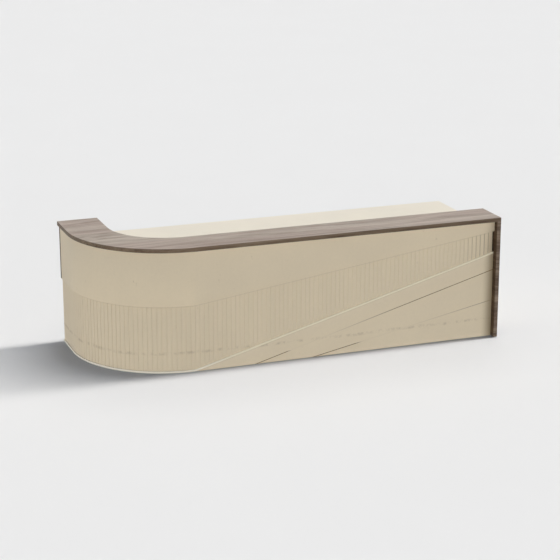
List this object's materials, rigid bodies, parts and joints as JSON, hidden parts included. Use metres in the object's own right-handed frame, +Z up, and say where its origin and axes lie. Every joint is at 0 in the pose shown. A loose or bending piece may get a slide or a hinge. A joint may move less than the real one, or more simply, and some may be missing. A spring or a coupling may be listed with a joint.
{
  "type": "checkout counter",
  "caption": "Long checkout counter with a J-shaped wooden customer ledge, a curved fluted cream front, and a staff side with worktop, drawers, cash drawer and cupboard.",
  "frame": {"origin": "on the floor, in the middle of the footprint", "axes": "+Z up, +X along the counter towards the wooden end panel, -Y towards the customer"},
  "size_m": [3.5, 1.18, 1.05],
  "materials": {
    "walnut_laminate": "satin walnut laminate, grain along the ledge",
    "front_board": "satin cream lacquer on board",
    "fluted_board": "satin cream lacquer on grooved board",
    "painted_board": "satin cream laminate",
    "worktop_laminate": "matte cream laminate",
    "accent_lipping": "satin ivory lipping",
    "bronze": "brushed bronze",
    "plywood": "raw plywood and softwood",
    "drawer_ply": "clear-lacquered birch ply",
    "dark_board": "matte graphite laminate",
    "zinc_steel": "bright zinc",
    "dark_steel": "fine-textured graphite powder coat",
    "dark_plastic": "matte black moulding"
  },
  "bodies": {
    "counter": {"ledge_top": "walnut_laminate", "end_panel": "walnut_laminate", "fascia": "front_board", "fascia_end_cap": "walnut_laminate", "return_end_post": "front_board", "fluted_panel": "fluted_board", "lower_panel": "front_board", "accent_strip": "accent_lipping", "inlay_strips": "bronze", "core_wall": "painted_board", "front_battens": "plywood", "wall_studs": "plywood", "sole_plate": "plywood", "ledge_dividers": "painted_board", "worktop": "worktop_laminate", "grommet_liners": "dark_plastic", "right_gable": "painted_board", "side_filler": "painted_board", "bay_lining": "painted_board", "unit_sides": "painted_board", "unit_bottoms": "painted_board", "unit_backs": "painted_board", "unit_top_rails": "painted_board", "shelves": "painted_board", "shelf_pins": "zinc_steel", "plinths": "dark_board", "foot_glides": "dark_plastic", "runner_outers": "zinc_steel", "hinge_fixed_leaves": "zinc_steel", "hinge_pins": "zinc_steel", "cable_tray": "dark_steel", "angle_brackets": "zinc_steel", "bracket_screws": "zinc_steel", "cash_housing": "dark_steel"},
    "drawer_bottom": {"drawer_bottom_front": "painted_board", "drawer_bottom_box": "drawer_ply", "drawer_bottom_runners": "zinc_steel", "drawer_bottom_pull": "bronze"},
    "drawer_middle": {"drawer_middle_front": "painted_board", "drawer_middle_box": "drawer_ply", "drawer_middle_runners": "zinc_steel", "drawer_middle_pull": "bronze"},
    "drawer_top": {"drawer_top_front": "painted_board", "drawer_top_box": "drawer_ply", "drawer_top_runners": "zinc_steel", "drawer_top_pull": "bronze"},
    "cash_drawer": {"cash_front": "dark_steel", "cash_tray": "zinc_steel", "cash_insert": "dark_plastic", "cash_runners": "zinc_steel"},
    "cash_key_barrel": {"cash_lock": "zinc_steel"},
    "left_door": {"door_left": "painted_board", "door_left_leaves": "zinc_steel", "door_left_pull": "bronze"},
    "right_door": {"door_right": "painted_board", "door_right_leaves": "zinc_steel", "door_right_pull": "bronze"},
    "left_cable_cap": {"grommet_cap_left": "dark_plastic"},
    "right_cable_cap": {"grommet_cap_right": "dark_plastic"}
  },
  "joints": [
    {"name": "drawer_bottom_slide", "type": "slide", "parent": "counter", "child": "drawer_bottom", "axis": [0, 1, 0], "range_m": [0, 0.35]},
    {"name": "drawer_middle_slide", "type": "slide", "parent": "counter", "child": "drawer_middle", "axis": [0, 1, 0], "range_m": [0, 0.35]},
    {"name": "drawer_top_slide", "type": "slide", "parent": "counter", "child": "drawer_top", "axis": [0, 1, 0], "range_m": [0, 0.35]},
    {"name": "cash_drawer_slide", "type": "slide", "parent": "counter", "child": "cash_drawer", "axis": [0, 1, 0], "range_m": [0, 0.34]},
    {"name": "cash_lock_turn", "type": "hinge", "parent": "cash_drawer", "child": "cash_key_barrel", "pos_m": [0.2126, 0.56, 0.831], "axis": [0, 1, 0], "range_deg": [0, 90]},
    {"name": "left_door_swing", "type": "hinge", "parent": "counter", "child": "left_door", "pos_m": [0.7345, 0.565, 0.483], "axis": [0, 0, 1], "range_deg": [0, 110]},
    {"name": "right_door_swing", "type": "hinge", "parent": "counter", "child": "right_door", "pos_m": [1.6955, 0.565, 0.483], "axis": [0, 0, -1], "range_deg": [0, 110]},
    {"name": "left_cap_turn", "type": "hinge", "parent": "counter", "child": "left_cable_cap", "pos_m": [-0.1398, 0.063, 0.92], "axis": [0, 0, 1], "continuous": true},
    {"name": "right_cap_turn", "type": "hinge", "parent": "counter", "child": "right_cable_cap", "pos_m": [0.565, 0.063, 0.92], "axis": [0, 0, 1], "continuous": true}
  ]
}
